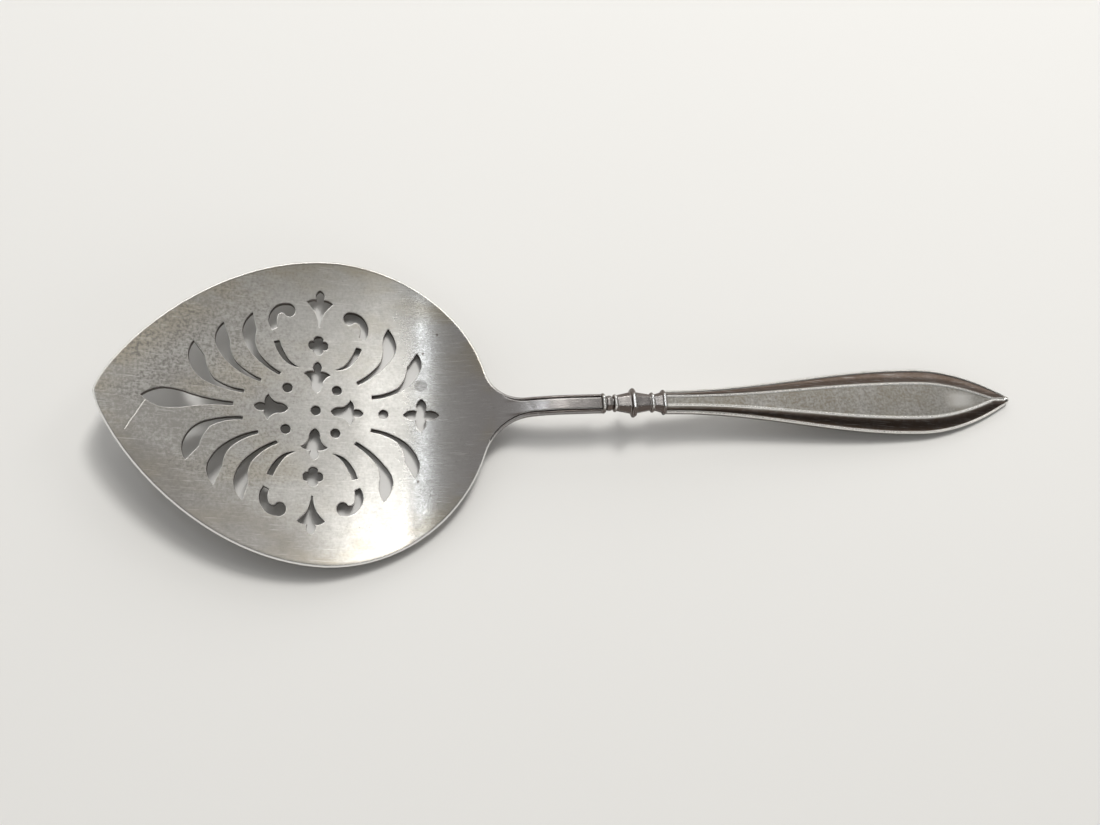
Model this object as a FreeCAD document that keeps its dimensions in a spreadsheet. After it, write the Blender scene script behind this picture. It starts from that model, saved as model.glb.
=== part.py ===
import FreeCAD, Part
import math
import os
from FreeCAD import Vector

# Pierced tomato server in one piece of silver, resting on its blade's heel and on its handle's end.
# X runs from the blade's tip to the handle's end, Y across the blade, Z up. Millimetres.

os.makedirs("parts", exist_ok=True)
doc = FreeCAD.newDocument("tomato_server")

# Driving sizes
sheet = doc.addObject("Spreadsheet::Sheet", "sizes")
sizes = [
    ("front_length", 45.0, "tip to the blade's widest place"),
    ("blade_width", 65.3, "blade at its widest place"),
    ("heel_radius", 33.5, "round back part of the blade in plan"),
    ("blade_thickness", 1.4, "sheet of the blade"),
    ("rim_bevel", 0.4, "bevel of the blade's upper edge"),
    ("tip_rise", 12.3, "blade's tip above its heel"),
    ("heel_place", 59.5, "tip to the back of the part that the blade rests on"),
    ("heel_flat", 6.0, "that part, along the blade"),
    ("rest_wear", 0.08, "flat rubbed on its underside"),
    ("dish_depth", 2.1, "blade's edges above its middle at the widest place"),
    ("inner_shoulder", 8.1, "hollow corner on the side that the handle turns to"),
    ("outer_shoulder", 11.0, "hollow corner on the other side"),
    ("side_border", 6.6, "widest place of the blade to the piercing"),
    ("tip_border", 8.4, "tip to the piercing"),
    ("heel_border", 10.8, "back of the blade to the piercing"),
    ("dot_diameter", 2.0, "round piercings"),
    ("turn_place", 68.4, "tip to where the handle's line leaves the blade's"),
    ("handle_turn", 3.7, "degrees between the handle and the blade in plan"),
    ("crown_place", 94.5, "tip to the top of the arch"),
    ("crown_height", 8.6, "middle of the metal at the top of the arch"),
    ("stem_width", 4.1, "stem over its side beads"),
    ("stem_end", 101.4, "tip to the first ring"),
    ("rib_width", 2.2, "panel along the stem"),
    ("rib_rise", 0.15, "panel above the side beads"),
    ("rib_depth", 2.7, "stem from panel to back"),
    ("groove_width", 0.45, "groove on each side of the panel"),
    ("groove_depth", 0.45, "the same groove below the side beads"),
    ("ring_length", 0.9, "each small ring, along the handle"),
    ("ring_depth", 3.6, "small rings from front to back"),
    ("ring_round", 0.4, "rounding of the rings' outer edges"),
    ("ring_gap", 0.1, "groove between one moulding and the next"),
    ("first_ring_width", 4.3, "ring next to the stem"),
    ("bead_length", 1.5, "round bead"),
    ("bead_width", 3.2, "round bead"),
    ("second_ring_width", 3.7, "ring after the bead"),
    ("swell_length", 2.8, "eight-sided part that swells"),
    ("swell_width", 4.5, "its wide end"),
    ("waist_width", 3.4, "narrow ends of the eight-sided parts"),
    ("middle_ring_length", 1.1, "largest ring, along the handle"),
    ("middle_ring_width", 6.2, "largest ring"),
    ("middle_ring_depth", 4.8, "largest ring from front to back"),
    ("taper_length", 3.1, "eight-sided part that narrows"),
    ("fourth_ring_width", 4.3, "ring after it"),
    ("flare_length", 1.5, "last eight-sided part"),
    ("flare_width", 4.3, "its wide end"),
    ("last_ring_width", 5.4, "ring next to the handle"),
    ("handle_end", 201.9, "tip to the end of the handle's faces"),
    ("closing_length", 23.7, "handle's widest place to the end of its faces"),
    ("grip_width", 15.5, "handle at its widest place"),
    ("root_width", 5.0, "handle next to its last ring"),
    ("root_depth", 3.2, "handle from panel to back next to its last ring"),
    ("wide_depth", 2.6, "handle from panel to back at its widest place"),
    ("end_depth", 1.3, "handle from panel to back at its end"),
    ("panel_width", 8.1, "front panel between its ridges at the widest place"),
    ("root_panel_width", 2.0, "front panel next to the last ring"),
    ("joined_ridge", 3.5, "where the ridges meet to the end of the handle's faces"),
    ("ridge_width", 0.5, "each ridge beside the panel"),
    ("ridge_height", 0.25, "ridges above the panel"),
    ("edge_bead_width", 0.7, "bead along the handle's edge"),
    ("edge_bead_drop", 0.85, "panel above the edge bead"),
    ("knob_diameter", 1.8, "round end of the handle"),
]
for row, (alias, value, meaning) in enumerate(sizes, start=1):
    sheet.set(f"A{row}", meaning)
    sheet.set(f"B{row}", str(value))
    sheet.setAlias(f"B{row}", alias)
doc.recompute()


def size(alias):
    return float(sheet.get(alias))


frontLength = size("front_length")
halfBlade = size("blade_width") / 2
heelRadius = size("heel_radius")
thickness = size("blade_thickness")
heelPlace = size("heel_place")
crownPlace = size("crown_place")
handleEnd = size("handle_end")
knobRadius = size("knob_diameter") / 2
stemEnd = size("stem_end")
turn = math.radians(size("handle_turn"))


# Side view: the height of the metal's middle at a place along the server

frontCurve = 1.4       # 1 would rise in a straight line to the tip, 2 in a parabola


def smoothStep(share):
    return (1 - math.cos(math.pi * min(max(share, 0), 1))) / 2


def middleHeight(place):
    flatFront = heelPlace - size("heel_flat")
    if place < flatFront:
        return thickness / 2 + size("tip_rise") * ((flatFront - place) / flatFront) ** frontCurve
    crown = size("crown_height")
    if place < heelPlace:
        return thickness / 2
    if place < crownPlace:
        return thickness / 2 + (crown - thickness / 2) * smoothStep((place - heelPlace) / (crownPlace - heelPlace))
    fall = smoothStep((place - crownPlace) / (handleEnd - crownPlace))
    return crown - (crown - knobRadius - 2 * size("rest_wear")) * fall


# A point on the handle's turned line, off to one side and above or below the metal's middle

def onHandle(place, side, rise):
    reach = place - size("turn_place")
    x = size("turn_place") + reach * math.cos(turn) - side * math.sin(turn)
    y = reach * math.sin(turn) + side * math.cos(turn)
    return Vector(x, y, middleHeight(place) + rise)


# Edges: two points make a straight one, and each further pair of points carries it on by an arc

def edgesThrough(points):
    if len(points) == 2:
        return [Part.LineSegment(points[0], points[1]).toShape()]
    return [Part.Arc(*points[start:start + 3]).toShape() for start in range(0, len(points) - 2, 2)]


def smoothCurve(points):
    spline = Part.BSplineCurve()
    spline.interpolate(points)
    return spline.toShape()


def feature(name, shape):
    thing = doc.addObject("Part::Feature", name)
    thing.Shape = shape
    return thing


def loft(name, wires, ruled):
    sections = [feature(f"{name}_section_{number}", wire) for number, wire in enumerate(wires, start=1)]
    body = doc.addObject("Part::Loft", name)
    body.Sections = sections
    body.Solid = True
    body.Ruled = ruled
    return body


# Blade: a dished sheet, cut to its outline, with a bevelled upper edge and a flat where it rests

spare = 5.0             # the sheet before it is cut reaches this far past the outline

def dishedLine(place, height):
    # nearly flat in the middle, where the blade rests, and turned up towards its sides
    reach = halfBlade + spare
    points = []
    for share in (-1, -0.5, 0, 0.5, 1):
        side = share * reach
        points.append(Vector(place, side, height + size("dish_depth") * abs(side / halfBlade) ** 2.5))
    return points


def sheetSection(place):
    bottom = dishedLine(place, middleHeight(place) - thickness / 2)
    top = dishedLine(place, middleHeight(place) + thickness / 2)[::-1]
    sides = edgesThrough([bottom[-1], top[0]]) + edgesThrough([top[-1], bottom[0]])
    return Part.Wire([smoothCurve(bottom), sides[0], smoothCurve(top), sides[1]])


def bladeSheet():
    # evenly spaced sections from before the tip; the last but one is where the stem takes over
    steps = 14
    pitch = (neckPlace + neckLap / 2 + spare) / (steps - 1)
    return loft("blade_sheet", [sheetSection(pitch * step - spare) for step in range(steps + 1)], False)


def frontPoint(share, side):
    # pointed front with full sides, as a share of the way from the tip to the widest place
    rise = (1 - (1 - share) ** 1.9) ** 0.75
    return Vector(share * frontLength, side * halfBlade * rise, 0)


def shoulder(side, radius):
    # hollow corner that touches the round back and the stem's straight side
    centre = Vector(frontLength, side * (halfBlade - heelRadius), 0)
    halfStem = size("stem_width") / 2
    normal = Vector(-side * math.sin(turn), side * math.cos(turn), 0)
    along = Vector(math.cos(turn), math.sin(turn), 0)
    base = Vector(size("turn_place"), 0, 0) + normal * (halfStem + radius)
    gap = base - centre
    half = gap.dot(along)
    reach = -half + math.sqrt(half ** 2 - gap.dot(gap) + (heelRadius + radius) ** 2)
    middle = base + along * reach
    onBack = centre + (middle - centre).normalize() * heelRadius
    onStem = middle - normal * radius
    toward = ((onBack + onStem) / 2 - middle).normalize()
    return centre, onBack, middle + toward * radius, onStem, size("turn_place") + reach


shoulders = ((1, size("inner_shoulder")), (-1, size("outer_shoulder")))
neckPlace = max(shoulder(side, radius)[4] for side, radius in shoulders)
neckLap = 0.8           # the blade's neck and the stem's beads run into each other


def bladeOutline():
    edges = []
    neckCorners = []
    for side, radius in shoulders:
        front = smoothCurve([frontPoint(share, side) for share in (0, 0.01, 0.05, 0.16, 0.38, 0.68, 1)])
        centre, onBack, onCorner, onStem, place = shoulder(side, radius)
        widest = Vector(frontLength, side * halfBlade, 0)
        backMiddle = centre + ((widest + onBack) / 2 - centre).normalize() * heelRadius
        corner = onHandle(neckPlace + neckLap, side * size("stem_width") / 2, 0)
        corner.z = 0
        edges.append(front)
        edges.append(Part.Arc(widest, backMiddle, onBack).toShape())
        edges.append(Part.Arc(onBack, onCorner, onStem).toShape())
        edges.append(Part.LineSegment(onStem, corner).toShape())
        neckCorners.append(corner)
    edges.append(Part.LineSegment(neckCorners[0], neckCorners[1]).toShape())
    return Part.Face(Part.Wire(Part.__sortEdges__(edges)))


# Piercing: each figure is drawn in millimetres about the middle of the pattern

drawnFront = 32.5
drawnBack = 25.2
drawnHalfHeight = 25.4
stretchLong = (frontLength + heelRadius - size("tip_border") - size("heel_border")) / (drawnFront + drawnBack)
stretchAcross = (halfBlade - size("side_border")) / drawnHalfHeight
patternPlace = size("tip_border") + drawnFront * stretchLong


def onPattern(x, y):
    return Vector(patternPlace + x * stretchLong, y * stretchAcross, 0)


def figure(strokes):
    edges = []
    for stroke in strokes:
        edges += edgesThrough([onPattern(x, y) for x, y in stroke])
    return Part.Face(Part.Wire(edges))


def moved(strokes, x, y):
    return [[(px + x, py + y) for px, py in stroke] for stroke in strokes]


def mirrored(strokes, alongAxis, acrossAxis):
    return [[(px * alongAxis, py * acrossAxis) for px, py in stroke] for stroke in strokes]


def quarterTurned(strokes, direction):
    return [[(py * direction, px) for px, py in stroke] for stroke in strokes]


def petal(tip, outer, inner):
    # a curved petal: along its outer side, over its narrow foot, and back to its tip
    return [[tip] + outer, [outer[-1], inner[0]], inner + [tip]]


def bothSides(half):
    # a figure that is the same on both sides of its own axis, from its top to its bottom
    other = [[(-x, y) for x, y in reversed(stroke)] for stroke in reversed(half)]
    return half + other


flame = [
    [(-32.5, 0), (-31.0, 1.15), (-28.6, 2.0), (-26.2, 1.88), (-23.8, 1.3), (-20.2, 0.66), (-15.8, 0.42)],
    [(-15.8, 0.42), (-15.8, -0.42)],
    [(-15.8, -0.42), (-20.2, -0.66), (-23.8, -1.3), (-26.2, -1.88), (-28.6, -2.0), (-31.0, -1.15), (-32.5, 0)],
]
petals = [
    petal((-23.8, 12.0),
          [(-24.6, 9.9), (-24.2, 7.3), (-22.9, 5.3), (-20.3, 3.7), (-17.4, 2.85), (-13.9, 2.4)],
          [(-13.9, 3.1), (-17.1, 3.6), (-19.7, 4.8), (-21.0, 6.9), (-21.6, 9.1), (-22.6, 10.4)]),
    petal((-18.5, 16.5),
          [(-19.8, 14.2), (-19.8, 12.1), (-19.0, 10.4), (-17.1, 8.2), (-14.5, 6.4), (-10.9, 5.0)],
          [(-10.8, 5.65), (-13.5, 6.9), (-15.5, 8.4), (-16.8, 10.5), (-17.1, 12.6), (-18.0, 15.1)]),
    petal((-13.1, 19.2),
          [(-14.5, 17.2), (-14.9, 15.2), (-14.4, 13.1), (-12.9, 10.7), (-10.1, 8.3), (-7.4, 6.8)],
          [(-7.0, 7.35), (-9.9, 9.2), (-11.7, 11.2), (-12.4, 13.6), (-12.2, 15.5), (-12.7, 17.5)]),
    petal((14.1, 18.4),
          [(15.4, 16.4), (15.9, 14.4), (15.4, 12.6), (14.1, 10.8), (11.6, 8.2), (8.3, 6.0)],
          [(7.9, 6.6), (10.5, 8.5), (12.5, 10.7), (13.2, 12.6), (13.1, 14.6), (13.3, 16.6)]),
    petal((20.2, 13.3),
          [(21.1, 11.4), (21.1, 10.0), (20.3, 8.2), (18.5, 6.0), (15.8, 4.4), (11.2, 3.1)],
          [(11.1, 3.85), (14.0, 4.5), (16.5, 5.75), (17.9, 8.0), (18.25, 10.2), (19.4, 12.0)]),
]
leaf = [
    [(-8.8, 13.7), (-8.1, 12.0), (-6.85, 10.25), (-5.2, 9.1), (-3.6, 8.8)],
    [(-3.6, 8.8), (-4.8, 9.4), (-6.2, 10.9), (-7.1, 12.5), (-7.7, 14.0)],
    [(-7.7, 14.0), (-8.8, 13.7)],
]
comma = [
    [(-9.3, 16.1), (-10.0, 17.9), (-9.45, 20.2), (-8.2, 21.5), (-6.6, 21.95),
     (-5.05, 21.3), (-5.1, 19.75), (-6.2, 19.2), (-7.0, 19.8)],
    [(-7.0, 19.8), (-7.7, 19.8), (-8.3, 19.1), (-8.45, 18.0), (-8.2, 16.7)],
    [(-8.2, 16.7), (-9.3, 16.1)],
]
lily = bothSides([
    [(0, 2.75), (0.8, 1.8), (0.65, 0.75)],
    [(0.65, 0.75), (1.75, 0.65), (2.65, 0.05)],
    [(2.65, 0.05), (1.7, -0.6), (1.05, -1.9), (0.78, -3.1), (0, -3.8)],
])
tallLily = bothSides([
    [(0, 2.7), (0.85, 1.7), (0.7, 0.7)],
    [(0.7, 0.7), (1.75, 0.62), (2.65, 0.0)],
    [(2.65, 0.0), (1.9, -0.75), (0.95, -1.9), (0.38, -3.4), (0.15, -5.0)],
    [(0.15, -5.0), (0, -5.1)],
])
quatrefoil = bothSides([
    [(0, 1.95), (0.82, 1.6), (0.9, 0.9)],
    [(0.9, 0.9), (1.6, 0.82), (1.95, 0), (1.6, -0.82), (0.9, -0.9)],
    [(0.9, -0.9), (0.82, -1.6), (0, -1.95)],
])
pointedFlower = bothSides([
    [(0, 3.5), (0.98, 2.1), (0.85, 0.85)],
    [(0.85, 0.85), (2.1, 0.98), (3.7, 0)],
    [(3.7, 0), (2.1, -0.98), (0.85, -0.85)],
    [(0.85, -0.85), (0.98, -2.1), (0, -3.5)],
])


def piercingFaces():
    # the flame at the tip's end, the flower at the other, and between them figures that mirror each other
    faces = [figure(flame)]
    faces.append(figure(moved(pointedFlower, 21.3, 0)))
    faces.append(figure(moved(quarterTurned(lily, -1), -9.2, 0)))
    faces.append(figure(moved(quarterTurned(lily, 1), 6.8, 0)))
    for side in (1, -1):
        for shape in petals:
            faces.append(figure(mirrored(shape, 1, side)))
        for end in (1, -1):
            faces.append(figure(mirrored(leaf, end, side)))
        faces.append(figure(mirrored(comma, 1, side)))
        faces.append(figure(mirrored(moved(comma, 0, -0.55), -1, side)))
        faces.append(figure(mirrored(moved(quatrefoil, 0, 13.7), 1, side)))
        faces.append(figure(mirrored(moved(lily, 0, 7.5), 1, side)))
        faces.append(figure(mirrored(moved(tallLily, 0, 22.7), 1, side)))
    dotPlaces = [(0, 0), (13.6, 0), (-5.7, 4.3), (-5.7, -4.3), (4.05, 4.5), (4.05, -4.5)]
    for x, y in dotPlaces:
        ring = Part.makeCircle(size("dot_diameter") / 2, onPattern(x, y))
        faces.append(Part.Face(Part.Wire(ring)))
    return faces


def prism(name, face):
    flat = feature(f"{name}_face", face)
    body = doc.addObject("Part::Extrusion", name)
    body.Base = flat
    body.DirMode = "Custom"
    body.Dir = Vector(0, 0, 1)
    body.Solid = True
    body.setExpression("LengthFwd", "sizes.tip_rise + 6 * sizes.blade_thickness + sizes.crown_height")
    body.setExpression("LengthRev", "4 * sizes.blade_thickness")
    return body


def blade():
    blank = doc.addObject("Part::Common", "blade_blank")
    blank.Base = bladeSheet()
    blank.Tool = prism("blade_plan", bladeOutline())
    doc.recompute()
    bevelled = doc.addObject("Part::Chamfer", "blade_bevelled")
    bevelled.Base = blank
    largest = sorted(blank.Shape.Faces, key=lambda face: face.Area)[-2:]
    top = max(largest, key=lambda face: face.CenterOfMass.z)
    edges = []
    for number, edge in enumerate(blank.Shape.Edges, start=1):
        middle = edge.valueAt((edge.FirstParameter + edge.LastParameter) / 2)
        onTop = any(edge.isSame(other) for other in top.Edges)
        if onTop and middle.x < neckPlace + 0.9 * neckLap:
            edges.append((number, size("rim_bevel"), size("rim_bevel")))
    bevelled.Edges = edges
    table = doc.addObject("Part::Box", "table_below")
    table.setExpression("Length", "2 * sizes.heel_place")
    table.setExpression("Width", "2 * sizes.blade_width")
    table.setExpression("Height", "10 * sizes.rest_wear")
    table.setExpression("Placement.Base.y", "-sizes.blade_width")
    table.setExpression("Placement.Base.z", "-9 * sizes.rest_wear")
    rested = doc.addObject("Part::Cut", "blade_rested")
    rested.Base = bevelled
    rested.Tool = table
    pierced = doc.addObject("Part::Cut", "blade_pierced")
    pierced.Base = rested
    pierced.Tool = prism("piercing", Part.Compound(piercingFaces()))
    return pierced


# Stem: two side beads that carry on from the blade's edge, and a panel between them with a round back

mouldingLap = 0.4       # how far the stem runs into its first ring


def beadSection(place):
    # a hair inside the blade's own neck, where the two overlap
    inset = 0.03
    half = size("stem_width") / 2 - inset
    high = thickness / 2 - inset
    bevel = size("rim_bevel")
    corners = [(half, -high), (half, high - bevel), (half - bevel, high),
               (bevel - half, high), (-half, high - bevel), (-half, -high)]
    points = [onHandle(place, side, rise) for side, rise in corners]
    return Part.makePolygon(points + points[:1])


def stemBeads():
    steps = 8
    reach = stemEnd + mouldingLap - neckPlace
    return loft("stem_beads", [beadSection(neckPlace + reach * step / steps) for step in range(steps + 1)], True)


cornerShare = 0.9       # the panel follows this much of each hollow corner


def panelEdge(place, side, radius):
    # the panel follows the hollow corner and the stem's side, some way inside them
    margin = (size("stem_width") - size("rib_width")) / 2
    before = min(max(shoulder(side, radius)[4] - place, 0), cornerShare * radius)
    return size("stem_width") / 2 + radius - math.sqrt(radius ** 2 - before ** 2) - margin


def ribSection(place, rise, depth):
    # flat on top, with a back of three faces
    left, right = [panelEdge(place, side, radius) for side, radius in shoulders]
    corners = [(-right, 0), (-right, rise), (left, rise), (left, 0),
               (0.72 * left, -0.72 * depth), (0.28 * left, -depth),
               (-0.28 * right, -depth), (-0.72 * right, -0.72 * depth)]
    points = [onHandle(place, side, height) for side, height in corners]
    return Part.makePolygon(points + points[:1])


def rib():
    # it starts inside the blade and grows out of both its faces over the first part of its length
    growing = 0.6
    start = neckPlace - cornerShare * size("outer_shoulder")
    reach = stemEnd + mouldingLap - start
    level = thickness / 2 - 0.15
    fullRise = thickness / 2 + size("rib_rise")
    fullDepth = size("rib_depth") - fullRise
    steps = 20
    wires = []
    for step in range(steps + 1):
        share = step / steps
        growth = smoothStep(share / growing)
        wires.append(ribSection(start + reach * share, level + (fullRise - level) * growth,
                                level + (fullDepth - level) * growth))
    return loft("stem_rib", wires, True)


def groove(name, side, radius):
    # a channel with sloping walls between the panel and one side bead, running out where the hollow corner begins
    slope = 0.12
    runOut = 0.3
    start = shoulder(side, radius)[4] - 0.95 * cornerShare * radius
    reach = stemEnd + mouldingLap - start
    floor = thickness / 2 - size("groove_depth")
    steps = 20
    wires = []
    for step in range(steps + 1):
        share = step / steps
        place = start + reach * share
        inner = panelEdge(place, side, radius)
        outer = inner + size("groove_width")
        low = floor + 1.05 * size("groove_depth") * (1 - smoothStep(share / runOut))
        corners = [(inner, thickness), (inner + slope, low), (outer - slope, low), (outer, thickness)]
        points = [onHandle(place, side * across, rise) for across, rise in corners]
        wires.append(Part.makePolygon(points + points[:1]))
    return loft(name, wires, True)


def stem(bladeBody):
    whole = doc.addObject("Part::MultiFuse", "blade_and_stem")
    whole.Shapes = [bladeBody, stemBeads(), rib()]
    grooves = doc.addObject("Part::Compound", "grooves")
    grooves.Links = [groove(name, side, radius) for name, (side, radius) in zip(("groove_left", "groove_right"), shoulders)]
    grooved = doc.addObject("Part::Cut", "blade_and_stem_grooved")
    grooved.Base = whole
    grooved.Tool = grooves
    return grooved


# Mouldings: rings, a bead and eight-sided parts between the stem and the handle

def octagon(place, width, depth):
    # broad front and back faces, narrow side faces, and sloping ones between them
    halfWidth = width / 2
    halfDepth = depth / 2
    flat = 0.52 * halfWidth
    flank = 0.3 * halfDepth
    corners = [(-flat, halfDepth), (flat, halfDepth), (halfWidth, flank), (halfWidth, -flank),
               (flat, -halfDepth), (-flat, -halfDepth), (-halfWidth, -flank), (-halfWidth, flank)]
    points = [onHandle(place, side, rise) for side, rise in corners]
    return Part.makePolygon(points + points[:1])


def roundedRing(start, length, width, depth):
    # a ring whose outer edge is rounded, as sections along the handle
    steps = 4
    sections = []
    for step in range(steps + 1):
        angle = math.pi * step / steps
        lift = size("ring_round") * (math.sin(angle) - 1)
        place = start + length / 2 * (1 - math.cos(angle))
        sections.append(octagon(place, width + 2 * lift, depth + 2 * lift))
    return sections


def mouldings():
    # each row: a ring's length, width and depth, then the eight-sided part after it, which swells or narrows
    ringLength = size("ring_length")
    ringDepth = size("ring_depth")
    waist = size("waist_width")
    waistDepth = size("rib_depth") + 0.2
    gap = size("ring_gap")
    place = stemEnd
    sections = []
    for length, width, depth, tail, tailWidth in (
            (ringLength, size("first_ring_width"), ringDepth, 0, 0),
            (size("bead_length"), size("bead_width"), size("bead_width"), 0, 0),
            (ringLength, size("second_ring_width"), ringDepth, size("swell_length"), size("swell_width")),
            (size("middle_ring_length"), size("middle_ring_width"), size("middle_ring_depth"),
             -size("taper_length"), size("swell_width")),
            (ringLength, size("fourth_ring_width"), ringDepth, size("flare_length"), size("flare_width")),
            (ringLength, size("last_ring_width"), size("middle_ring_depth") - 0.6, 0, 0)):
        sections += roundedRing(place, length, width, depth)
        place += length + gap
        swollenDepth = waistDepth + (tailWidth - waist) / 2
        if tail > 0:
            sections.append(octagon(place, waist, waistDepth))
            sections.append(octagon(place + tail, tailWidth, swollenDepth))
        if tail < 0:
            sections.append(octagon(place, tailWidth, swollenDepth))
            sections.append(octagon(place - tail, waist, waistDepth))
        if tail != 0:
            place += abs(tail) + gap
    return loft("mouldings", sections, True), place - gap


# Handle: a flat panel between two ridges, hollow flanks, a bead along each edge, and a rounded back

def gripSection(place, root):
    widest = handleEnd - size("closing_length")
    halfRoot = size("root_width") / 2
    halfGrip = size("grip_width") / 2
    if place < widest:
        half = halfRoot + (halfGrip - halfRoot) * smoothStep((place - root) / (widest - root))
    else:
        half = halfGrip * (1 - ((place - widest) / (handleEnd + 2 - widest)) ** 2)
    rootPanel = size("root_panel_width") / 2
    widePanel = size("panel_width") / 2
    panelEnd = handleEnd - size("joined_ridge")
    ridge = size("ridge_width") / 2
    if place < widest:
        panel = rootPanel + (widePanel - rootPanel) * smoothStep((place - root - 3) / (widest - root - 3))
    else:
        panel = widePanel * max(1 - ((place - widest) / (panelEnd - widest)) ** 2, 0)
    panel = max(panel, ridge + 0.05)
    ridgeHeight = size("ridge_height") * (1 - 0.6 * max(place - panelEnd, 0) / size("joined_ridge"))
    closing = max(place - widest, 0) / (handleEnd - widest)
    swelling = min((place - root) / (widest - root), 1)
    depth = size("root_depth") + (size("wide_depth") - size("root_depth")) * swelling
    front = (depth + (size("end_depth") - size("wide_depth")) * closing ** 2) / 2
    flank = half - panel - ridge
    bead = size("edge_bead_width") * flank / (flank + 0.35)
    drop = size("edge_bead_drop") * front / (size("root_depth") / 2)
    beadTop = front - drop
    hollowSide = panel + ridge + (flank - bead) * 0.45
    hollowRise = front - drop * 0.95
    right = [
        (panel - ridge, front),
        (panel, front + ridgeHeight),
        (panel + ridge, front - 0.05),
        (hollowSide, hollowRise),
        (half - bead, beadTop - 0.18),
        (half - bead * 0.55, beadTop),
        (half, beadTop - 0.4),
        (half - 0.1 * bead, -0.3 * front - 0.2),
    ]
    a = [onHandle(place, side, rise) for side, rise in right]
    b = [onHandle(place, -side, rise) for side, rise in right]
    edges = [Part.LineSegment(b[0], a[0]).toShape()]
    edges += [Part.LineSegment(a[number], a[number + 1]).toShape() for number in (0, 1)]
    edges.append(Part.Arc(a[2], a[3], a[4]).toShape())
    edges += [Part.LineSegment(a[number], a[number + 1]).toShape() for number in (4, 5, 6)]
    edges.append(Part.Arc(a[7], onHandle(place, 0, -front), b[7]).toShape())
    edges += [Part.LineSegment(b[number + 1], b[number]).toShape() for number in (6, 5, 4)]
    edges.append(Part.Arc(b[4], b[3], b[2]).toShape())
    edges += [Part.LineSegment(b[number + 1], b[number]).toShape() for number in (1, 0)]
    return Part.Wire(edges)


def grip(root):
    widest = handleEnd - size("closing_length")
    swellSteps = 10
    closingSteps = 12
    places = [root - 0.2]
    places += [root + (widest - root) * step / swellSteps for step in range(1, swellSteps + 1)]
    places += [widest + (handleEnd - widest) * smoothStep(step / closingSteps) for step in range(1, closingSteps + 1)]
    return loft("grip", [gripSection(place, root) for place in places], True)


def knob():
    # a ball turned about the handle's line
    middle = onHandle(handleEnd, 0, 0)
    along = Vector(math.cos(turn), math.sin(turn), 0)
    up = Vector(0, 0, 1)
    far = middle + along * knobRadius
    crest = middle + up * knobRadius
    inside = middle - along * knobRadius * 0.8
    rim = inside + up * knobRadius * 0.6
    half = Part.Wire(edgesThrough([far, crest, rim]) + edgesThrough([rim, inside]) + edgesThrough([inside, far]))
    ball = doc.addObject("Part::Revolution", "knob")
    ball.Source = feature("knob_half", Part.Face(half))
    ball.Base = middle
    ball.Axis = along
    ball.Angle = 360
    return ball


# The whole server in one solid, with its origin below the middle of its box

bands, gripRoot = mouldings()
server = doc.addObject("Part::MultiFuse", "tomato_server")
server.Label = "tomato_server"
server.Shapes = [stem(blade()), bands, grip(gripRoot), knob()]
doc.recompute()
box = server.Shape.optimalBoundingBox(False, False)
server.Placement = FreeCAD.Placement(Vector(-box.Center.x, -box.Center.y, -box.ZMin), FreeCAD.Rotation())
doc.recompute()

for thing in doc.Objects:
    if "Invalid" in thing.State or "Error" in thing.State:
        raise RuntimeError(f"{thing.Name} failed: {thing.State}")
shape = server.Shape
if shape.isNull() or not shape.isValid() or len(shape.Solids) != 1:
    raise RuntimeError("tomato_server isn't one sound solid")
print("volume", round(shape.Volume, 1), "box", shape.optimalBoundingBox(False, False))
shape.exportStep("parts/tomato_server.step")
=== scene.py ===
import math
from types import SimpleNamespace

import bmesh
import bpy
from mathutils import Matrix, Vector


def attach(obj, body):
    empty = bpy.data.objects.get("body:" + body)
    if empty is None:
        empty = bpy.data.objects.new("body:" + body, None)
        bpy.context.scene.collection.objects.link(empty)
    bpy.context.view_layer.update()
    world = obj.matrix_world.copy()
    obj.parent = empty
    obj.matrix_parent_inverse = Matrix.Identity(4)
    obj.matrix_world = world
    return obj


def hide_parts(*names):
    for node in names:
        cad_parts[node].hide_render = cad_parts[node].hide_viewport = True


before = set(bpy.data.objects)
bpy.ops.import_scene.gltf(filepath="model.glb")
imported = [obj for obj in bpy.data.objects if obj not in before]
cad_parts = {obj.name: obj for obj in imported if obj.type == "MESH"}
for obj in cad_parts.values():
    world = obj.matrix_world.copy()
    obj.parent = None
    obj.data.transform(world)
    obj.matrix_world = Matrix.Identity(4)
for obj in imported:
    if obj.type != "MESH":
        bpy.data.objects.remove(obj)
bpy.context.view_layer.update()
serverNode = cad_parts["tomato_server"]
print("frame loaded")

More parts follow.
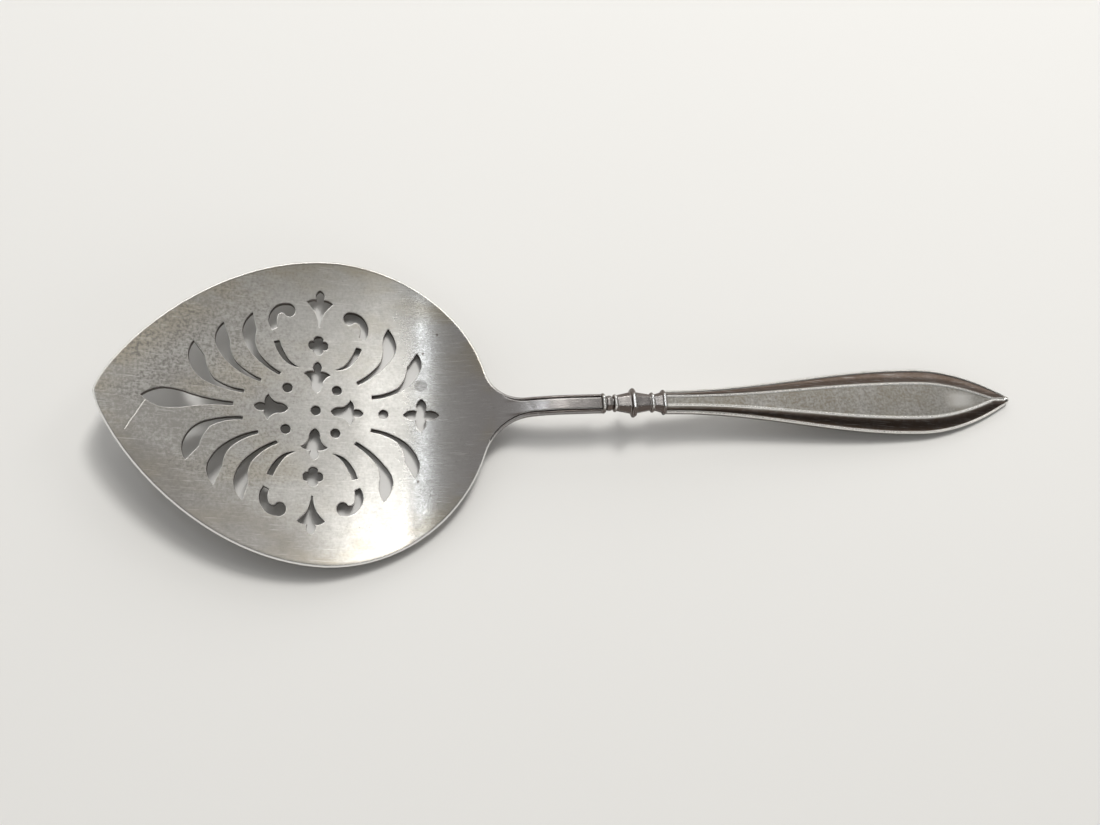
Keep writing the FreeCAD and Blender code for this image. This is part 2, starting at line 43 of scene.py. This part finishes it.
# Metres. Places count from the blade's point, along its axis or along the handle's line.
blade = {
    "tip": -0.101261,           # where the blade's point lies on the long axis
    "frontLength": 0.045,       # point to the widest place
    "half": 0.03265,            # half the widest width
    "frontRound": 1.9,          # the two powers of the pointed front's outline
    "frontFull": 0.75,
    "heelRadius": 0.0335,
    "end": (0.0765, 0.0800),    # the blade gives way to the neck here
    "neck": 0.0862,
    "tipRise": 0.0123,          # side view: rise to the point, flat heel, arch into the stem
    "frontCurve": 1.4,
    "flatFront": 0.0535,
    "flatBack": 0.0595,
    "crownPlace": 0.0945,
    "crownHeight": 0.0079,
    "dish": 0.0021,             # depth across, and the power of its curve
    "dishCurve": 2.5,
}
handle = {
    "turnPlace": 0.0684,        # where its line leaves the blade's
    "turn": 3.7,                # degrees
    "stemStart": (0.0800, 0.0850),      # each pair is the stretch over which a form comes in
    "ringStart": (0.1011, 0.1014),
    "gripStart": (0.1156, 0.1161),
    "stemPanel": 0.0011,        # half the panel between the stem's grooves
    "rings": (0.10185, 0.10445, 0.10845, 0.11275, 0.11535),     # the crests of the raised rings
    "root": 0.1158,             # where the handle starts to swell
    "widest": 0.1782,
    "end": 0.2019,
    "pastEnd": 0.002,           # the swelling closes this far past the end
    "rootHalf": 0.0025,
    "gripHalf": 0.00775,
    "panelStart": 0.1188,
    "panelEnd": 0.1984,
    "rootPanel": 0.0010,
    "widePanel": 0.00405,
}
skinShape = {
    "merge": 0.000002,
    "sliver": 0.0000005,
    "crease": 27,               # degrees, past which an edge stays sharp
    "level": 0.97,              # how nearly a face follows the dished blade to take its normal
    "slopeSpan": 0.001,
}


# The silver's visible skin: the solid's own surface, merged and with smooth normals

def risePlace(place):
    if place < blade["flatFront"]:
        return blade["tipRise"] * ((blade["flatFront"] - place) / blade["flatFront"]) ** blade["frontCurve"]
    if place < blade["flatBack"]:
        return 0.0
    share = (place - blade["flatBack"]) / (blade["crownPlace"] - blade["flatBack"])
    return blade["crownHeight"] * (1 - math.cos(math.pi * min(share, 1))) / 2


def bladeNormal(x, y):
    place = x - blade["tip"]
    span = skinShape["slopeSpan"]
    alongSlope = (risePlace(place + span) - risePlace(place - span)) / (2 * span)
    power = blade["dishCurve"]
    acrossSlope = math.copysign(power * blade["dish"] * abs(y) ** (power - 1) / blade["half"] ** power, y)
    return Vector((-alongSlope, -acrossSlope, 1)).normalized()


def makeSkin(node):
    mesh = node.data.copy()
    mesh.name = "silverSkin"
    bm = bmesh.new()
    bm.from_mesh(mesh)
    bmesh.ops.remove_doubles(bm, verts=bm.verts, dist=skinShape["merge"])
    bmesh.ops.dissolve_degenerate(bm, dist=skinShape["sliver"], edges=bm.edges)
    crease = math.radians(skinShape["crease"])
    for face in bm.faces:
        face.smooth = True
    for edge in bm.edges:
        edge.smooth = len(edge.link_faces) == 2 and edge.calc_face_angle(0) < crease
    bm.to_mesh(mesh)
    bm.free()

    # the dished faces take the curve's own normals, so that reflections run on without facets
    normals = [corner.vector.copy() for corner in mesh.corner_normals]
    neckX = blade["tip"] + blade["neck"]
    for face in mesh.polygons:
        if face.center.x > neckX:
            continue
        facing = face.normal.dot(bladeNormal(face.center.x, face.center.y))
        if abs(facing) < skinShape["level"]:
            continue
        for corner in face.loop_indices:
            place = mesh.vertices[mesh.loops[corner].vertex_index].co
            normals[corner] = bladeNormal(place.x, place.y) * math.copysign(1, facing)
    mesh.normals_split_custom_set(normals)
    skin = bpy.data.objects.new("silverServer", mesh)
    bpy.context.scene.collection.objects.link(skin)
    return skin


skin = makeSkin(serverNode)
print("skin", len(skin.data.polygons), "faces")


# Material nodes as Python expressions

class Wire:
    def __init__(self, paint, socket):
        self.paint = paint
        self.socket = socket

    def math(self, operation, *values):
        node = self.paint.node("ShaderNodeMath", {"operation": operation}, dict(enumerate(values)))
        return Wire(self.paint, node.outputs[0])

    def __add__(self, other):
        return self.math("ADD", self, other)

    def __radd__(self, other):
        return self.math("ADD", other, self)

    def __sub__(self, other):
        return self.math("SUBTRACT", self, other)

    def __rsub__(self, other):
        return self.math("SUBTRACT", other, self)

    def __mul__(self, other):
        return self.math("MULTIPLY", self, other)

    def __rmul__(self, other):
        return self.math("MULTIPLY", other, self)

    def __truediv__(self, other):
        return self.math("DIVIDE", self, other)

    def __rtruediv__(self, other):
        return self.math("DIVIDE", other, self)

    def __pow__(self, other):
        return self.math("POWER", self, other)

    def __rpow__(self, other):
        return self.math("POWER", other, self)

    def __abs__(self):
        return self.math("ABSOLUTE", self)

    def cosine(self):
        return self.math("COSINE", self)

    def lower(self, other):
        return self.math("MINIMUM", self, other)

    def higher(self, other):
        return self.math("MAXIMUM", self, other)

    def within(self, low=0.0, high=1.0):
        return self.higher(low).lower(high)

    def step(self, low, high):
        # 0 below low, 1 above high, smooth between
        node = self.paint.node("ShaderNodeMapRange", {"interpolation_type": "SMOOTHSTEP"},
                               {"Value": self, "From Min": low, "From Max": high})
        return Wire(self.paint, node.outputs[0])

    def fade(self, low, high):
        # 1 below low, 0 above high
        return 1 - self.step(low, high)

    def band(self, start, full, last, end):
        # 1 between full and last, 0 outside start and end
        return self.step(start, full) * self.fade(last, end)


class Paint:
    # a material or a world, and the nodes added to it
    def __init__(self, owner):
        owner.use_nodes = True
        self.owner = owner
        self.tree = owner.node_tree
        self.tree.nodes.clear()

    def node(self, kind, settings=None, inputs=None):
        made = self.tree.nodes.new(kind)
        for key, value in (settings or {}).items():
            setattr(made, key, value)
        for key, value in (inputs or {}).items():
            if isinstance(value, Wire):
                self.tree.links.new(value.socket, made.inputs[key])
            else:
                made.inputs[key].default_value = value
        return made

    def wire(self, node, output=0):
        return Wire(self, node.outputs[output])

    def noise(self, vector, scale, detail, roughness):
        inputs = {"Vector": vector, "Scale": scale, "Detail": detail, "Roughness": roughness}
        return self.wire(self.node("ShaderNodeTexNoise", {}, inputs))

    def turned(self, vector, degrees, squeeze):
        # the pattern turned on the table's plane and made narrower across
        inputs = {"Vector": vector, "Rotation": (0, 0, math.radians(degrees)), "Scale": (1.0, squeeze, 1.0)}
        return self.wire(self.node("ShaderNodeMapping", {}, inputs))

    def dot(self, first, second):
        node = self.node("ShaderNodeVectorMath", {"operation": "DOT_PRODUCT"}, {0: first, 1: second})
        return self.wire(node, "Value")

    def blend(self, factor, first, second):
        # 6 and 7 are the Mix node's two colours, and 2 is its colour output
        node = self.node("ShaderNodeMix", {"data_type": "RGBA"}, {0: factor, 6: first, 7: second})
        return self.wire(node, 2)

    def finish(self, shader, outputKind="ShaderNodeOutputMaterial"):
        out = self.node(outputKind)
        self.tree.links.new(shader.outputs[0], out.inputs["Surface"])
        return self.owner


# Old silver. Each pair of measures is the stretch over which a mark comes in or fades.
silver = {
    "clean": (0.60, 0.59, 0.57, 1),
    "worn": (0.27, 0.26, 0.245, 1),         # greyer metal under fine scratches
    "heel": (0.31, 0.29, 0.285, 1),         # duller metal from the heel to the rings
    "yellow": (0.36, 0.315, 0.23, 1),       # thin tarnish
    "brown": (0.085, 0.058, 0.045, 1),      # thick tarnish on the flanks, dark pits and stem grooves, and painted shade on walls, ring sides and in hollows
    "spot": (0.17, 0.16, 0.15, 1),
    "bright": (0.94, 0.93, 0.90, 1),        # rubbed edges and scratches, and painted highlights on edges, the rim, ridges, beads and ring crests
    "roughness": 0.33,
    "roughRange": (0.18, 0.7),
    "edgeRadius": 0.00028,                  # how far edges look rounded
    "hollowReach": 0.0014,
    "bumpStrength": 0.5,
    "bumpDepth": 0.00004,
    "cloud": (34.0, 4.0, 0.6),              # noises: scale, detail, roughness
    "drift": (55.0, 4.0, 0.6),
    "driftTurn": (30, 2.2),                 # degrees, and how narrow it is across
    "patch": (170.0, 5.0, 0.7),
    "grain": (1700.0, 3.0, 0.7),
    "speck": (3200.0, 2.0, 0.6),
    "scratchTurns": ((28, 24.0), (-41, 30.0), (78, 26.0), (-22, 34.0), (-68, 28.0), (52, 32.0)),
    "scratchScale": (120.0, 22.0),          # of the first run, and what each later run adds
    "scratchDetail": (2.0, 0.5),
    "longScratch": ((-0.0919, -0.0007), (-0.0950, -0.0070)),
    "longScratchEdge": (0.00004, 0.00016),
    "longScratchWander": 0.0014,
    "stain": ((-0.0379, 0.0065), (-0.0377, 0.0065)),
    "stainEdge": (0.0010, 0.0015),
    "stainWander": 0.0012,
    "pits": ((-0.0345, 0.0178), (-0.0374, 0.0136), (-0.0380, -0.0144)),
    "pitEdge": (0.00012, 0.00034),
    "tipDull": (0.012, 0.048),              # places along the blade
    "heelDull": (0.0630, 0.0790),
    "smooth": (0.0530, 0.0660),
    "rimTarnish": (0.0006, 0.0110),         # widths in from the rim
    "rimLine": (0.00035, 0.00055, 0.0007, 0.0010),
    "lowerRim": (0.003, 0.015),
    "lowerRimEnd": (0.036, 0.052),
    "lowerRimSide": (-0.014, 0.0),
    "flankInner": (0.00025, 0.0006),        # widths beside the handle's panel and edge
    "flankOuter": (0.00045, 0.00075),
    "ridge": (0.00016, 0.00034),
    "edgeBead": (0.00012, 0.00034),
    "edgeBeadMiddle": 0.00030,
    "stemGroove": (0.0, 0.00025, 0.0006, 0.0008),
    "ringCrest": (0.00010, 0.00028),
    "ringCrestHalf": (0.0011, 0.0018),
    "ringSide": (0.0008, 0.0015),
    "handled": (0.1840, 0.1890, 0.1900, 0.1950),    # a painted highlight on the panel near the handle's end, where it slopes down to the knob
    "handledShare": 0.3,                    # of the panel's half width
    "handledEdge": (0.0, 0.0016),
    "wallLevel": (0.25, 0.5),               # how level the metal lies: 0 upright, 1 flat
    "bevelLevel": (0.35, 0.55, 0.88, 0.93),
    "beadLevel": (0.1, 0.4),
    "upperLevel": (0.5, 0.8),
    "rimLineLevel": (0.6, 0.8),
    "ringSideLevel": (0.70, 0.92),
    "edgeBend": (0.03, 0.20),               # how far an edge's rounded normal leans from its face
    "hollowShade": (0.45, 0.90),
    "scratchCut": (0.65, 0.75),             # the part of the noise that shows as a scratch
    "scratchStrength": 0.5,
}


def lineGap(first, last, x, y):
    # how far a point lies from the line between two places
    stepX, stepY = last[0] - first[0], last[1] - first[1]
    share = ((x - first[0]) * stepX + (y - first[1]) * stepY) / (stepX ** 2 + stepY ** 2)
    share = share.within()
    gapX = x - first[0] - share * stepX
    gapY = y - first[1] - share * stepY
    return (gapX * gapX + gapY * gapY) ** 0.5


def rimDepth(place, y):
    # how far inside the blade's outline a point lies
    share = (place / blade["frontLength"]).within()
    frontHalf = blade["half"] * (1 - (1 - share) ** blade["frontRound"]) ** blade["frontFull"]
    radius = blade["heelRadius"]
    farthest = radius - 0.0001      # stops short of the circle's end
    backReach = (place - blade["frontLength"]).within(0.0, farthest)
    backDrop = radius - (radius ** 2 - backReach * backReach) ** 0.5
    return frontHalf - backDrop - abs(y)


def leafHalf(place, start, end, startHalf, wideHalf):
    # half the width of a form that swells from start to the handle's widest place and closes at end
    widest = handle["widest"]
    swellShare = ((place - start) / (widest - start)).within()
    swell = 0.5 - 0.5 * (math.pi * swellShare).cosine()
    closing = ((place - widest) / (end - widest)).within()
    return (startHalf + (wideHalf - startHalf) * swell) * (1 - closing ** 2)


def fineScratches(paint, coords):
    total = 0.0
    firstScale, addedScale = silver["scratchScale"]
    for number, (degrees, squeeze) in enumerate(silver["scratchTurns"]):
        turned = paint.turned(coords, degrees, squeeze)
        lines = paint.noise(turned, firstScale + addedScale * number, *silver["scratchDetail"])
        total = total + lines.step(*silver["scratchCut"]) * silver["scratchStrength"]
    return total.lower(1.0)


def silverTextures(paint, coords):
    # cloudy tarnish, mottling, grain and scratches
    return SimpleNamespace(
        cloud=paint.noise(coords, *silver["cloud"]),
        drift=paint.noise(paint.turned(coords, *silver["driftTurn"]), *silver["drift"]),
        patch=paint.noise(coords, *silver["patch"]),
        grain=paint.noise(coords, *silver["grain"]),
        speck=paint.noise(coords, *silver["speck"]),
        scratches=fineScratches(paint, coords))


def handleForms(forms, x, y):
    # the stem's grooves, the rings, and the handle's flanks, ridges and edge beads
    turn = math.radians(handle["turn"])
    alongX = x - (handle["turnPlace"] + blade["tip"])
    place = alongX * math.cos(turn) + y * math.sin(turn) + handle["turnPlace"]
    side = abs(y * math.cos(turn) - alongX * math.sin(turn))
    gripHalf = leafHalf(place, handle["root"], handle["end"] + handle["pastEnd"],
                        handle["rootHalf"], handle["gripHalf"])
    panelHalf = leafHalf(place, handle["panelStart"], handle["panelEnd"],
                         handle["rootPanel"], handle["widePanel"])
    onGrip = place.step(*handle["gripStart"])
    onStem = place.band(*handle["stemStart"], *handle["ringStart"])
    onRings = place.step(*handle["ringStart"]) * (1 - onGrip)
    # the rings' crests are masked for a painted highlight
    crest = 0.0
    for middle in handle["rings"]:
        crest = crest + abs(place - middle).fade(*silver["ringCrest"])
    edgeBead = abs(gripHalf - side - silver["edgeBeadMiddle"]).fade(*silver["edgeBead"])
    # the panel near the handle's end is masked for a painted highlight
    handledEdge = (side - silver["handledShare"] * panelHalf).fade(*silver["handledEdge"])
    ringSlope = forms.level.fade(*silver["ringSideLevel"])
    forms.onGrip = onGrip
    forms.onRings = onRings
    forms.stemGroove = (side - handle["stemPanel"]).band(*silver["stemGroove"]) * onStem
    # the rings' sloping sides are masked for painted shade
    forms.ringSide = onRings * ringSlope.higher(side.step(*silver["ringSide"]))
    forms.crest = crest * side.fade(*silver["ringCrestHalf"])
    forms.flank = (side - panelHalf).step(*silver["flankInner"]) * onGrip
    forms.flank = forms.flank * (gripHalf - side).step(*silver["flankOuter"])
    # the ridges and edge beads are masked for painted highlights
    forms.ridge = abs(side - panelHalf).fade(*silver["ridge"]) * onGrip
    forms.edgeBead = edgeBead * onGrip * forms.level.step(*silver["beadLevel"])
    forms.handled = place.band(*silver["handled"]) * handledEdge


def silverForms(paint, x, y):
    # masks that say which part of the server a point is on, and how the metal faces there
    forms = SimpleNamespace()
    geometry = paint.node("ShaderNodeNewGeometry")
    facing = paint.node("ShaderNodeSeparateXYZ", {}, {"Vector": paint.wire(geometry, "True Normal")})
    forms.level = paint.wire(facing, "Z")
    # upright walls, which are painted in shade
    forms.wall = abs(forms.level).fade(*silver["wallLevel"])
    rounded = paint.node("ShaderNodeBevel", {"samples": 6}, {"Radius": silver["edgeRadius"]})
    forms.softNormal = paint.wire(rounded)
    edgeDot = paint.dot(forms.softNormal, paint.wire(geometry, "Normal"))
    # rounded edges, partly rubbed bright and partly given a painted highlight
    forms.edge = (1 - edgeDot).step(*silver["edgeBend"])
    # ambient occlusion, from which the hollows are painted in shade
    hollow = paint.node("ShaderNodeAmbientOcclusion", {"samples": 10, "only_local": True},
                        {"Distance": silver["hollowReach"]})
    forms.hollow = paint.wire(hollow, "AO").fade(*silver["hollowShade"])
    forms.place = x - blade["tip"]
    forms.onBlade = forms.place.fade(*blade["end"])
    forms.rimDepth = rimDepth(forms.place, y)
    # the blade's sloping rim is masked for a painted highlight
    forms.bevel = forms.level.band(*silver["bevelLevel"]) * forms.onBlade
    handleForms(forms, x, y)
    return forms


def silverMarks(forms, textures, x, y):
    # the single marks on the blade: long scratch, grey stain, small pits, and the line inside the rim
    marks = SimpleNamespace()
    wander = textures.patch - 0.5
    scratchGap = lineGap(*silver["longScratch"], x, y + silver["longScratchWander"] * wander)
    stainGap = lineGap(*silver["stain"], x, y) + silver["stainWander"] * wander
    upper = forms.level.step(*silver["upperLevel"])
    innerPit, outerPit = silver["pitEdge"]
    pits = 0.0
    for pitX, pitY in silver["pits"]:
        squaredGap = (x - pitX) * (x - pitX) + (y - pitY) * (y - pitY)
        pits = pits + squaredGap.fade(innerPit ** 2, outerPit ** 2)
    rimLine = forms.rimDepth.band(*silver["rimLine"])
    marks.upper = upper
    marks.longScratch = scratchGap.fade(*silver["longScratchEdge"])
    marks.stain = stainGap.fade(*silver["stainEdge"]) * upper
    marks.pits = pits * upper
    marks.rimLine = rimLine * forms.onBlade * forms.level.step(*silver["rimLineLevel"])
    return marks


def silverWear(forms, textures):
    # where the silver is dull or rubbed bright, where its hollows are painted in shade, and where
    # highlights are painted on edges, the rim, ridges, beads, crests and near the handle's end
    # edges are partly rubbed bright and partly a painted highlight; the rim's bevel, ridges, beads and
    # crests add painted highlights
    edgeWearAndHighlight = forms.edge * (1 - forms.wall) * 0.85
    rubbedAndHighlights = edgeWearAndHighlight.higher(forms.bevel).higher(forms.ridge)
    return SimpleNamespace(
        tip=forms.place.fade(*silver["tipDull"]),
        heel=forms.place.step(*silver["heelDull"]) * (1 - forms.onGrip) * 0.8,
        smooth=forms.place.step(*silver["smooth"]) * (1 - forms.onGrip),
        paintedHollowShade=forms.hollow * (1 - 0.8 * forms.onBlade),
        rubbedAndHighlights=rubbedAndHighlights.higher(forms.edgeBead * 0.8).higher(forms.crest * 0.9),
        # the painted highlight near the handle's end, broken up by grain
        handled=forms.handled * (0.35 + textures.grain * 0.6))


def tarnishAndLowerShade(forms, textures, wear, y):
    # yellow film, and the greyer film near the point and the lower rim; along the lower rim the grey is
    # tarnish and also painted shade, where the blade mirrors less light
    drift, grain, patch = textures.drift, textures.grain, textures.patch
    rimFilm = forms.onBlade * forms.rimDepth.fade(*silver["rimTarnish"]) * drift.step(0.34, 0.60) * 0.6
    cloudFilm = textures.cloud.step(0.48, 0.66) * drift.step(0.42, 0.62) * 0.35
    handleFilm = forms.onGrip * (0.12 + 0.35 * (patch * 0.6 + grain * 0.4).step(0.42, 0.60))
    # the lower rim towards the point: tarnish, and painted shade where the blade mirrors less light
    lowerRim = y.fade(*silver["lowerRimSide"]) * forms.place.fade(*silver["lowerRimEnd"])
    lowerRim = lowerRim * forms.rimDepth.fade(*silver["lowerRim"]) * forms.onBlade
    tipFilm = wear.tip * (0.25 + grain.step(0.48, 0.64) * drift.step(0.40, 0.60)) * 0.74
    yellow = rimFilm.higher(cloudFilm).higher(handleFilm)
    grey = tipFilm.higher(lowerRim * (0.45 + 0.5 * patch))
    return yellow, grey


def silverColor(paint, forms, textures, marks, wear, y):
    # layers over clean silver, from the lowest to the topmost
    grain, patch = textures.grain, textures.patch
    yellow, grey = tarnishAndLowerShade(forms, textures, wear, y)
    fine = (grain - 0.5) * (0.9 + 1.6 * forms.onGrip + 0.8 * wear.tip)
    fine = fine + (patch - 0.5) * 0.9 + (textures.cloud - 0.5) * 0.5
    mottled = (0.42 + fine + 0.48 * wear.tip + 0.12 * forms.onGrip + 0.40 * forms.onRings).within()
    specks = textures.speck.step(0.64, 0.72) * grain.step(0.45, 0.6)
    layers = (
        (mottled, "worn"),
        (wear.heel, "heel"),
        (yellow, "yellow"),
        (grey, "spot"),
        (forms.flank * (0.90 + 0.3 * (patch - 0.5)).lower(1.0), "brown"),
        (forms.stemGroove * 0.8, "brown"),
        # painted shade on upright walls and on the rings' sloping sides
        (forms.wall.higher(forms.ringSide) * 0.8, "brown"),
        # painted shade in hollows, weaker on the blade
        (wear.paintedHollowShade * 0.95, "brown"),
        (specks * 0.55, "spot"),
        (marks.stain * 0.65, "spot"),
        (marks.pits * 0.8, "brown"),
        (textures.scratches * marks.upper * (0.34 - 0.2 * wear.heel), "bright"),
        (marks.longScratch * (0.10 + 0.34 * patch), "bright"),
        (marks.rimLine * 0.45, "spot"),
        # rubbed edges with painted highlights on edges, rim, ridges, beads and crests, and the painted
        # highlight near the handle's end
        (wear.rubbedAndHighlights.higher(wear.handled), "bright"),
    )
    color = silver["clean"]
    for mask, metal in layers:
        color = paint.blend(mask, color, silver[metal])
    return color


def silverSurface(paint, forms, textures, marks, wear):
    # roughness, and the normal with its rounded edges and fine bumps
    grain, patch, scratches = textures.grain, textures.patch, textures.scratches
    rough = silver["roughness"] + 0.12 * (grain - 0.5) + 0.14 * (patch - 0.5) + 0.10 * scratches
    rough = rough + 0.16 * wear.paintedHollowShade + 0.05 * wear.tip
    rough = rough - 0.09 * wear.smooth - 0.08 * forms.bevel - 0.08 * wear.rubbedAndHighlights
    height = grain * 0.4 + textures.speck * 0.3 + patch * 0.5 - scratches * 0.12
    height = height * (1 - 0.7 * wear.smooth) - marks.longScratch * 0.8
    bump = paint.node("ShaderNodeBump", {}, {
        "Strength": silver["bumpStrength"], "Distance": silver["bumpDepth"],
        "Height": height, "Normal": forms.softNormal})
    return rough.within(*silver["roughRange"]), paint.wire(bump)


def silverMaterial():
    paint = Paint(bpy.data.materials.new("old_silver"))
    coords = paint.wire(paint.node("ShaderNodeTexCoord"), "Object")
    split = paint.node("ShaderNodeSeparateXYZ", {}, {"Vector": coords})
    x, y = paint.wire(split, "X"), paint.wire(split, "Y")
    forms = silverForms(paint, x, y)
    textures = silverTextures(paint, coords)
    marks = silverMarks(forms, textures, x, y)
    wear = silverWear(forms, textures)
    rough, normal = silverSurface(paint, forms, textures, marks, wear)
    shader = paint.node("ShaderNodeBsdfPrincipled", {}, {
        "Base Color": silverColor(paint, forms, textures, marks, wear, y),
        "Metallic": 1.0, "Roughness": rough, "Normal": normal})
    return paint.finish(shader)


skin.data.materials.clear()
skin.data.materials.append(silverMaterial())
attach(skin, "root")
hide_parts("tomato_server")
print("silver done")


# Stage: pale floor, soft lights, camera above the server as in the photograph
stage = {
    "floorColor": (0.80, 0.79, 0.77, 1),
    "floorHalf": 3.0,
    "floorRoughness": 0.9,
    "roomColor": (1.0, 0.99, 0.97, 1),
    "brightest": 0.58,          # the room's light, strongest behind the server
    "darkest": 0.08,
    "toward": (-0.45, 0.84, 0.30),
    "spread": 0.1,              # how far past square to that way its light still reaches
    "backdrop": 0.66,           # the pale walls low down
    "wallTop": (0.30, 0.66),    # the walls fade out between these heights of the sky
    "eye": (-0.0529, -0.05869, 0.2288),
    "look": (-0.0094, 0.00201, 0.0),
    "up": (0.0138, 0.9999, 0.0),
    "lens": 36.0,
    "sensor": 36.0,
    "clipStart": 0.01,
}
lampAim = (-0.03, 0.0, 0.0)
lamps = {
    "keyLamp": {                # lights the floor and casts the shadow, and isn't mirrored in the silver
        "place": (0.16, 0.62, 0.95), "aim": lampAim, "size": (0.20, 0.20), "watts": 4.6,
        "color": (1.0, 0.99, 0.97), "mirrored": False},
    "highPanel": {              # the bright patch on the blade
        "place": (0.05, 0.54, 0.90), "aim": lampAim, "size": (0.26, 0.44), "watts": 3.2,
        "color": (1.0, 0.99, 0.95), "mirrored": True},
    "narrowPanel": {            # the cool upright band near the heel
        "place": (-0.235, 0.27, 0.95), "aim": lampAim, "size": (0.04, 0.26), "watts": 0.26,
        "color": (0.88, 0.94, 1.0), "mirrored": True},
    "northPanel": {             # behind the server
        "place": (-0.10, 1.10, 0.60), "aim": lampAim, "size": (1.20, 0.60), "watts": 3.2,
        "color": (0.97, 0.98, 1.0), "mirrored": True},
    "eastPanel": {              # beyond the handle's end
        "place": (0.78, 0.62, 0.85), "aim": (0.05, 0.0, 0.0), "size": (0.25, 0.45), "watts": 1.3,
        "color": (1.0, 0.98, 0.95), "mirrored": True},
}


def makeFloor():
    bm = bmesh.new()
    bmesh.ops.create_grid(bm, x_segments=1, y_segments=1, size=stage["floorHalf"])
    mesh = bpy.data.meshes.new("floor")
    bm.to_mesh(mesh)
    bm.free()
    floor = bpy.data.objects.new("floor", mesh)
    bpy.context.scene.collection.objects.link(floor)
    paint = Paint(bpy.data.materials.new("pale_floor"))
    shader = paint.node("ShaderNodeBsdfPrincipled", {}, {
        "Base Color": stage["floorColor"], "Roughness": stage["floorRoughness"]})
    floor.data.materials.append(paint.finish(shader))


def makeLamp(name, lamp):
    data = bpy.data.lights.new(name, "AREA")
    data.shape = "RECTANGLE"
    data.size, data.size_y = lamp["size"]
    data.energy = lamp["watts"]
    data.color = lamp["color"]
    made = bpy.data.objects.new(name, data)
    made.location = lamp["place"]
    made.rotation_euler = (Vector(lamp["aim"]) - Vector(lamp["place"])).to_track_quat("-Z", "Y").to_euler()
    made.visible_glossy = lamp["mirrored"]
    made.visible_camera = False
    bpy.context.scene.collection.objects.link(made)


def makeRoom():
    # pale walls low down, and above them a dimmer room that is lighter behind the server
    world = bpy.data.worlds.new("room")
    bpy.context.scene.world = world
    paint = Paint(world)
    direction = paint.wire(paint.node("ShaderNodeTexCoord"), "Generated")
    height = paint.wire(paint.node("ShaderNodeSeparateXYZ", {}, {"Vector": direction}), "Z")
    spread = stage["spread"]
    lighter = ((paint.dot(direction, stage["toward"]) + spread) / (1 + spread)).higher(0.0)
    room = stage["darkest"] + (stage["brightest"] - stage["darkest"]) * lighter
    strength = room + (stage["backdrop"] - room) * height.fade(*stage["wallTop"])
    back = paint.node("ShaderNodeBackground", {}, {"Color": stage["roomColor"], "Strength": strength})
    paint.finish(back, "ShaderNodeOutputWorld")


def makeCamera():
    data = bpy.data.cameras.new("camera")
    data.lens = stage["lens"]
    data.sensor_width = stage["sensor"]
    data.clip_start = stage["clipStart"]
    eye = Vector(stage["eye"])
    back = (eye - Vector(stage["look"])).normalized()
    right = Vector(stage["up"]).cross(back).normalized()
    up = back.cross(right)
    camera = bpy.data.objects.new("camera", data)
    camera.matrix_world = Matrix.Translation(eye) @ Matrix((right, up, back)).transposed().to_4x4()
    bpy.context.scene.collection.objects.link(camera)
    bpy.context.scene.camera = camera


makeFloor()
for name, lamp in lamps.items():
    makeLamp(name, lamp)
makeRoom()
makeCamera()
bpy.context.scene.view_settings.view_transform = "Standard"
print("stage done")
